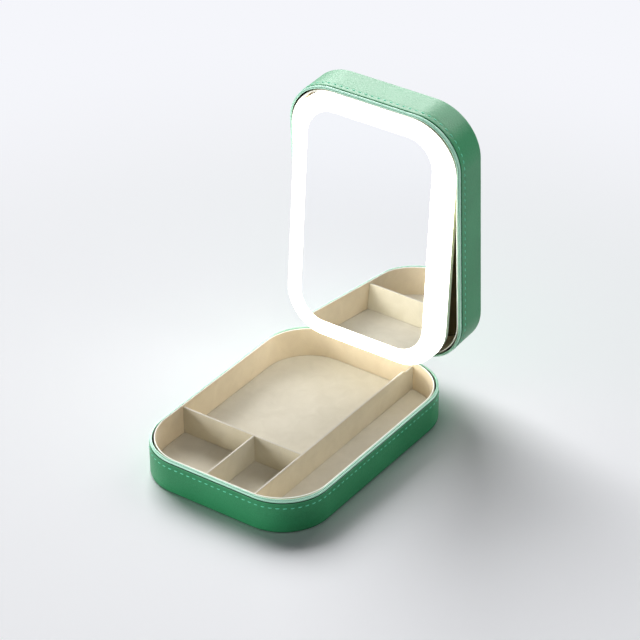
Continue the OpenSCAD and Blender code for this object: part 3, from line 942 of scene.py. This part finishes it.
# The lid's seam takes the same dark green painted shade as the tray's.
profile, seam_shade_spans = leather_profile(LID_HEIGHT)
profile = [(inset, lid_top - height) for inset, height in profile]
channel = stitch_channel(lid_seam + STITCH_DROP, side_total)
vertices, faces = sweep(side_places, CORNER, profile, channel)
lid_leather = new_piece(
    "lid_leather_side",
    "lid",
    [grained_leather, seam_shade],
    opened(vertices),
    faces,
    span_materials(faces, profile, seam_shade_spans),
)
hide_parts("lid_cover")
vertices, faces = stitch_row(side_places, side_total, CORNER, lid_seam + STITCH_DROP)
new_piece("lid_stitches", "lid", [polyester_thread], opened(vertices), faces)


def lid_panel_height(x, y, edge):
    """Outer face of the leather panel: it dips into the turned edge and is a little soft."""
    dip = PANEL_DIP * bell(edge, PANEL_DIP_WIDTH)
    swell = PANEL_SWELL * (slow_wave(x, y, (30 * MM, 30 * MM), 5.9) - 0.5)
    return lid_top - dip + swell


vertices, faces = padded_sheet(
    BOX_WIDTH - 2 * FOOT_RADIUS,
    BOX_LENGTH - 2 * FOOT_RADIUS,
    CORNER - FOOT_RADIUS,
    lid_top - PANEL_THICKNESS,
    lid_panel_height,
)
lid_panel = new_piece(
    "lid_leather_panel", "lid", [grained_leather], opened(vertices), faces
)
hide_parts("lid_top_cover")


# Rim binding and liner of the lid
# The same two beads as on the tray, facing them across the closing gap, and the same suede-faced
# card inside, glued to the wall from the roof down with its raw edge towards the tray.

ROOF_THICKNESS = 2.6 * MM

binding_piece("lid_rim_binding", "lid", "lid_binding", lid_seam, -1)
lid_roof = lid_top - ROOF_THICKNESS
liner_piece("lid_liner_wall", "lid", "lid_liner", lid_roof, lid_rim)


# Lining of the lid's roof
# Khaki microsuede on thin foam, cut to the liner and glued to the roof. It lies behind the mirror
# panel and shows where the panel stands out of the lid.

LINING_THICKNESS = 0.8 * MM
LINING_ROLL = 0.4 * MM
LINING_ROLL_WIDTH = 0.9 * MM
LINING_SWELL = 0.08 * MM


def lining_height(x, y, edge):
    """Face of the lining, soft at its edge."""
    roll = LINING_ROLL * bell(edge, LINING_ROLL_WIDTH)
    swell = LINING_SWELL * slow_wave(x, y, (24 * MM, 24 * MM), 8.2)
    return lid_roof - LINING_THICKNESS + roll + swell


# Khaki microsuede: a dull green-brown that takes almost no light behind the panel.
khaki_suede = finish_material(
    "khaki_microsuede", suede_pattern("#8a7b50", "#63573a"), **{"Roughness": 0.92, "Sheen Weight": 0.15}
)
vertices, faces = padded_sheet(
    pad_high.x - pad_low.x, pad_high.y - pad_low.y, PAD_CORNER, lid_roof, lining_height
)
roof_lining = new_piece(
    "lid_roof_lining", "lid", [khaki_suede], opened(vertices), faces
)
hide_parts("lid_lining")


# Mirror glass
# Float glass, silvered on the back and ground at its edge. It is glued flush into the lit frame
# and mirrors the rim and cells of the tray.


def glass_pattern(tree, place):
    """The faint unevenness of wiped glass, 40 mm across."""
    wipe = add_node(tree, "ShaderNodeTexNoise", inputs={"Vector": place, "Scale": 1 / (40 * MM)})
    haze = add_node(
        tree, "ShaderNodeMapRange", inputs={"Value": wipe.outputs[0], "To Min": 0.0, "To Max": 0.012}
    )
    return {"Roughness": haze.outputs[0]}


# Silvered glass: a clear picture with a breath of cool grey.
silvered_glass = finish_material(
    "silvered_float_glass", glass_pattern, **{"Base Color": linear("#feffff"), "Metallic": 1.0}
)
dress(silvered_glass, "mirror_glass")


# Lit frame
# An opal polycarbonate moulding that carries the light of the LEDs round the glass: a flat
# ring, a rounded edge and a side wall, all glowing.


def opal_pattern(tree, place):
    """Even glow with the slow drift of light between LEDs 9 mm apart."""
    drift = add_node(tree, "ShaderNodeTexNoise", inputs={"Vector": place, "Scale": 1 / (9 * MM)})
    level = add_node(
        tree, "ShaderNodeMapRange", inputs={"Value": drift.outputs[0], "To Min": 3.6, "To Max": 4.2}
    )
    return {"Emission Strength": level.outputs[0]}


# Opal polycarbonate, lit: a plain white glare with soft warm spill on the tray.
opal_lit = finish_material(
    "opal_polycarbonate_lit",
    opal_pattern,
    **{
        "Base Color": linear("#fbfaf5"),
        "Roughness": 0.3,
        "IOR": 1.585,
        "Emission Color": linear("#fffcf4"),
    },
)
dress(opal_lit, "light_diffuser")


# Light tray, LED strip, housing and electrics
# Behind the glass a white ABS pan holds the LED strip. A sage-green ABS housing closes the
# back and carries the battery, the board, the socket and the touch pad.

# White ABS: a clean reflector with a fine mould skin.
white_abs = finish_material(
    "moulded_white_abs", moulded_pattern("#e6e6e0", "#f4f4ef", 20 * MM), Roughness=0.45, IOR=1.53
)
# Sage ABS: the matt grey-green strip that shows beside the white glare.
sage_abs = finish_material(
    "moulded_sage_abs", moulded_pattern("#b3caad", "#c8dbc2", 20 * MM), Roughness=0.5, IOR=1.53
)


def board_pattern(light, dark, spacing):
    """Copper tracks under lacquer, as a maze of thin lines at a real spacing."""

    def build(tree, place):
        tracks = add_node(
            tree,
            "ShaderNodeTexVoronoi",
            {"feature": "DISTANCE_TO_EDGE"},
            {"Vector": place, "Scale": 1 / spacing},
        )
        line = add_node(
            tree,
            "ShaderNodeMapRange",
            inputs={"Value": tracks.outputs["Distance"], "From Min": 0.04, "From Max": 0.1},
        )
        bump = add_node(
            tree,
            "ShaderNodeBump",
            inputs={"Height": line.outputs[0], "Distance": 0.03 * MM, "Strength": 0.5},
        )
        colour = add_node(
            tree,
            "ShaderNodeMix",
            {"data_type": "RGBA"},
            {0: line.outputs[0], MIX_FROM: linear(light), MIX_TO: linear(dark)},
        )
        return {"Base Color": colour.outputs[MIX_RESULT], "Normal": bump.outputs[0]}

    return build


def phosphor_pattern(tree, place):
    """Grains of phosphor in silicone, as blotches half an LED wide."""
    grains = add_node(tree, "ShaderNodeTexNoise", inputs={"Vector": place, "Scale": 1 / (1.4 * MM)})
    colour = add_node(
        tree,
        "ShaderNodeMix",
        {"data_type": "RGBA"},
        {0: grains.outputs[0], MIX_FROM: linear("#f6dd7e"), MIX_TO: linear("#fff0b8")},
    )
    return {"Base Color": colour.outputs[MIX_RESULT]}


# Polyimide under white lacquer: cream, with thin copper tracks showing through.
flex_circuit = finish_material(
    "lacquered_flex_circuit", board_pattern("#e9c98a", "#f3efe2", 2.5 * MM), Roughness=0.4
)
# Solder mask over glass epoxy: a glossy deep green with paler tracks.
solder_mask = finish_material(
    "green_solder_mask", board_pattern("#3f8f57", "#145a30", 3.0 * MM), Roughness=0.25
)
# Phosphor in clear silicone: small, bright, warm-white blocks.
phosphor = finish_material(
    "led_phosphor",
    phosphor_pattern,
    **{"Roughness": 0.2, "Emission Color": linear("#fff1d2"), "Emission Strength": 3.0},
)
# Aluminium laminate: the crinkled blue-grey foil of the battery's pouch.
pouch_foil = finish_material(
    "laminated_pouch_foil", plated_pattern("#9fb4c9", "#7d94ac", 1.0), Metallic=0.6
)
# Bare copper: salmon red, slightly dulled.
bare_copper = finish_material(
    "bare_copper_foil", plated_pattern("#d99a72", "#b9774f", 1.0), Metallic=1.0
)
dress(white_abs, "light_tray")
dress(flex_circuit, "led_strip")
dress(phosphor, "leds")
dress(sage_abs, "mirror_housing")
dress(pouch_foil, "battery")
dress(solder_mask, "circuit_board")
dress(bare_copper, "touch_sensor")


# Floor and studio light
# A plain pale table that keeps the box's shadow and turns into an even backdrop, a little paler
# behind the box than in front. The table has a lamp of its own and the box has the others,
# because in the photograph the shadow and the sheen do not come from one lamp.

PAINT = "#fbfcff"
BACKDROP = "#f5f6fb"
NEAR_BACKDROP = "#e9eaf0"
FLOOR_SIZE = 60.0
# How far from the box the shaded table turns into the backdrop, and how much nearer it does so
# in the mirror.
FADE_START = 0.34
FADE_END = 0.66
MIRROR_FADE = 0.16
# How far before and behind the box the backdrop changes shade.
FRONT_FADE = 0.30

floor_mesh = bpy.data.meshes.new("studio_floor")
half_floor = FLOOR_SIZE / 2
floor_corners = [(-half_floor, -half_floor, 0), (half_floor, -half_floor, 0)]
floor_corners += [(half_floor, half_floor, 0), (-half_floor, half_floor, 0)]
floor_mesh.from_pydata(floor_corners, [], [(0, 1, 2, 3)])
floor = bpy.data.objects.new("studio_floor", floor_mesh)
bpy.context.scene.collection.objects.link(floor)
floor_material = bpy.data.materials.new("painted_studio_floor")
floor_material.use_nodes = True
tree = floor_material.node_tree
tree.nodes.clear()
place = add_node(tree, "ShaderNodeTexCoord").outputs["Object"]
away = add_node(tree, "ShaderNodeVectorMath", {"operation": "LENGTH"}, {0: place}).outputs["Value"]
rays = add_node(tree, "ShaderNodeLightPath")
away = add_node(
    tree,
    "ShaderNodeMath",
    {"operation": "MULTIPLY_ADD"},
    {0: rays.outputs["Is Glossy Ray"], 1: MIRROR_FADE, 2: away},
).outputs[0]
fade = add_node(
    tree,
    "ShaderNodeMapRange",
    {"interpolation_type": "SMOOTHSTEP"},
    {"Value": away, "From Min": FADE_START, "From Max": FADE_END},
)
seen = add_node(
    tree,
    "ShaderNodeMath",
    {"operation": "MAXIMUM"},
    {0: rays.outputs["Is Camera Ray"], 1: rays.outputs["Is Glossy Ray"]},
)
amount = add_node(
    tree, "ShaderNodeMath", {"operation": "MULTIPLY"}, {0: fade.outputs[0], 1: seen.outputs[0]}
)
axes = add_node(tree, "ShaderNodeSeparateXYZ", inputs={"Vector": place})
front = add_node(
    tree,
    "ShaderNodeMapRange",
    {"interpolation_type": "SMOOTHSTEP"},
    {"Value": axes.outputs["Y"], "From Min": FRONT_FADE, "From Max": -FRONT_FADE},
)
shown = add_node(
    tree,
    "ShaderNodeMath",
    {"operation": "MULTIPLY"},
    {0: front.outputs[0], 1: rays.outputs["Is Camera Ray"]},
)
colour = add_node(
    tree,
    "ShaderNodeMix",
    {"data_type": "RGBA"},
    {0: shown.outputs[0], MIX_FROM: linear(BACKDROP), MIX_TO: linear(NEAR_BACKDROP)},
)
paint = add_node(tree, "ShaderNodeBsdfDiffuse", inputs={"Color": linear(PAINT)})
glow = add_node(
    tree, "ShaderNodeEmission", inputs={"Color": colour.outputs[MIX_RESULT], "Strength": 1.0}
)
mixed = add_node(
    tree, "ShaderNodeMixShader", inputs={0: amount.outputs[0], 1: paint.outputs[0], 2: glow.outputs[0]}
)
add_node(tree, "ShaderNodeOutputMaterial", inputs={"Surface": mixed.outputs[0]})
floor_mesh.materials.append(floor_material)

AMBIENT = 0.11
world = bpy.data.worlds.new("pale_studio")
bpy.context.scene.world = world
world.use_nodes = True
tree = world.node_tree
tree.nodes.clear()
rays = add_node(tree, "ShaderNodeLightPath")
seen = add_node(
    tree,
    "ShaderNodeMath",
    {"operation": "MAXIMUM"},
    {0: rays.outputs["Is Camera Ray"], 1: rays.outputs["Is Glossy Ray"]},
)
seen = add_node(
    tree,
    "ShaderNodeMath",
    {"operation": "MAXIMUM"},
    {0: seen.outputs[0], 1: rays.outputs["Is Transmission Ray"]},
)
strength = add_node(
    tree, "ShaderNodeMapRange", inputs={"Value": seen.outputs[0], "To Min": AMBIENT, "To Max": 1.0}
)
sky = add_node(
    tree, "ShaderNodeBackground", inputs={"Color": linear(BACKDROP), "Strength": strength.outputs[0]}
)
add_node(tree, "ShaderNodeOutputWorld", inputs={"Surface": sky.outputs[0]})


def direction(azimuth, elevation):
    """Unit direction from the box; azimuth 0 is the front and 90 the right."""
    turn = math.radians(azimuth)
    rise = math.radians(elevation)
    return Vector((math.sin(turn) * math.cos(rise), -math.cos(turn) * math.cos(rise), math.sin(rise)))


LAMP_DISTANCE = 12.0
floor_only = bpy.data.collections.new("floor_alone")
floor_only.objects.link(floor)
box_only = bpy.data.collections.new("floor_left_out")
box_only.objects.link(floor)
box_only.collection_objects[0].light_linking.link_state = "EXCLUDE"


def softbox(name, azimuth, elevation, spread, level, receivers):
    """A soft light whose width and height are seen under the two angles of spread; level is
    the share of white that it gives a face turned to it, and receivers are what it lights."""
    lamp = bpy.data.lights.new(name, "AREA")
    lamp.shape = "RECTANGLE"
    lamp.size = 2 * LAMP_DISTANCE * math.tan(math.radians(spread[0] / 2))
    lamp.size_y = 2 * LAMP_DISTANCE * math.tan(math.radians(spread[1] / 2))
    lamp.energy = level * math.pi**2 * LAMP_DISTANCE**2
    holder = bpy.data.objects.new(name, lamp)
    holder.location = direction(azimuth, elevation) * LAMP_DISTANCE
    holder.rotation_mode = "QUATERNION"
    holder.rotation_quaternion = (-holder.location).to_track_quat("-Z", "Y")
    bpy.context.scene.collection.objects.link(holder)
    holder.light_linking.receiver_collection = receivers


# High behind the box on the left: throws its shadow on the table, to the front right.
softbox("floor_softbox", 235, 40, (38, 32), 1.29, floor_only)
# Nearly the same place, for the box itself: the light in the cells and on the lid's edge.
softbox("back_softbox", 221, 33, (40, 28), 1.3, box_only)
# A weak light along the table from there.
softbox("low_softbox", 228, 6, (30, 20), 0.16, box_only)
# High behind: the sheen on top of the upright lid.
softbox("rear_softbox", 168, 38, (40, 30), 0.76, box_only)
# Low in front on the left: the tray's front and left walls.
softbox("front_softbox", -45, 12, (30, 30), 0.99, box_only)
# A weak light on the right, for the sides that are turned from the others.
softbox("right_softbox", 68, 38, (30, 30), 0.22, box_only)


# Camera
# A long lens from the front right and above. Its place, roll and focal length are fitted to the
# outlines of the box in the photograph.

CAMERA_AZIMUTH = 35.0671
CAMERA_ELEVATION = 32.6282
CAMERA_ROLL = -0.1893
CAMERA_DISTANCE = 2.0796
CAMERA_RIGHT = 0.01740
CAMERA_UP = 0.08840
FOCAL_LENGTH = 159.6
SENSOR_WIDTH = 36

camera_data = bpy.data.cameras.new("camera")
camera_data.lens = FOCAL_LENGTH
camera_data.sensor_width = SENSOR_WIDTH
camera_data.clip_end = 100
camera = bpy.data.objects.new("camera", camera_data)
bpy.context.scene.collection.objects.link(camera)
back = direction(CAMERA_AZIMUTH, CAMERA_ELEVATION)
level_right = Vector((0, 0, 1)).cross(back).normalized()
level_up = back.cross(level_right)
roll = math.radians(CAMERA_ROLL)
right = level_right * math.cos(roll) + level_up * math.sin(roll)
up = level_up * math.cos(roll) - level_right * math.sin(roll)
camera.matrix_world = Matrix.Translation(
    right * CAMERA_RIGHT + up * CAMERA_UP + back * CAMERA_DISTANCE
) @ Matrix((right, up, back)).transposed().to_4x4()
bpy.context.scene.camera = camera
bpy.context.scene.view_settings.view_transform = "Standard"
